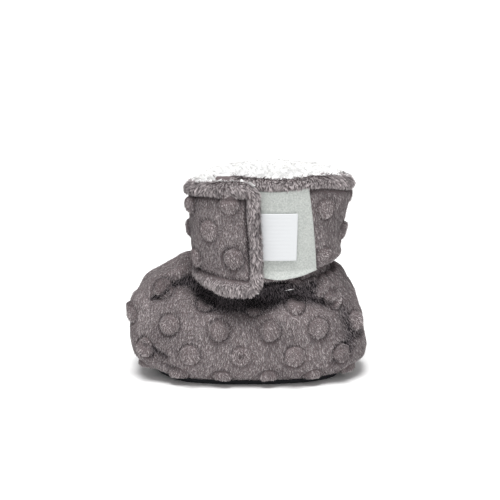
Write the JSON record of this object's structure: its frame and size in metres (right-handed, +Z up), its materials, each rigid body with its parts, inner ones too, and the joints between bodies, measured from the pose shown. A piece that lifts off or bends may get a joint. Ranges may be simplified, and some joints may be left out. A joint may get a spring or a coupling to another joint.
{
  "type": "baby slipper",
  "caption": "Soft plush baby slipper with a rounded padded upper and a tall wrap cuff that closes with loop tape.",
  "frame": {"origin": "the middle of the outsole's flat underside", "axes": "+X from toe to heel, -Y the side with the closure, +Z up from the floor"},
  "size_m": [0.1156, 0.0756, 0.1012],
  "materials": {
    "sole_fabric": "dark non-slip fabric, matt",
    "fleece": "white curly fleece",
    "plush": "short grey-brown plush with raised dots, soft sheen along the nap",
    "loop_pile": "pale grey brushed loop tape, matt",
    "woven_label": "white woven ribbon, slight satin sheen"
  },
  "bodies": {
    "root": {"outsole": "sole_fabric", "insole": "fleece", "upper": "plush", "cuff": "plush", "loop_tape": "loop_pile", "woven_label": "woven_label"}
  },
  "joints": []
}
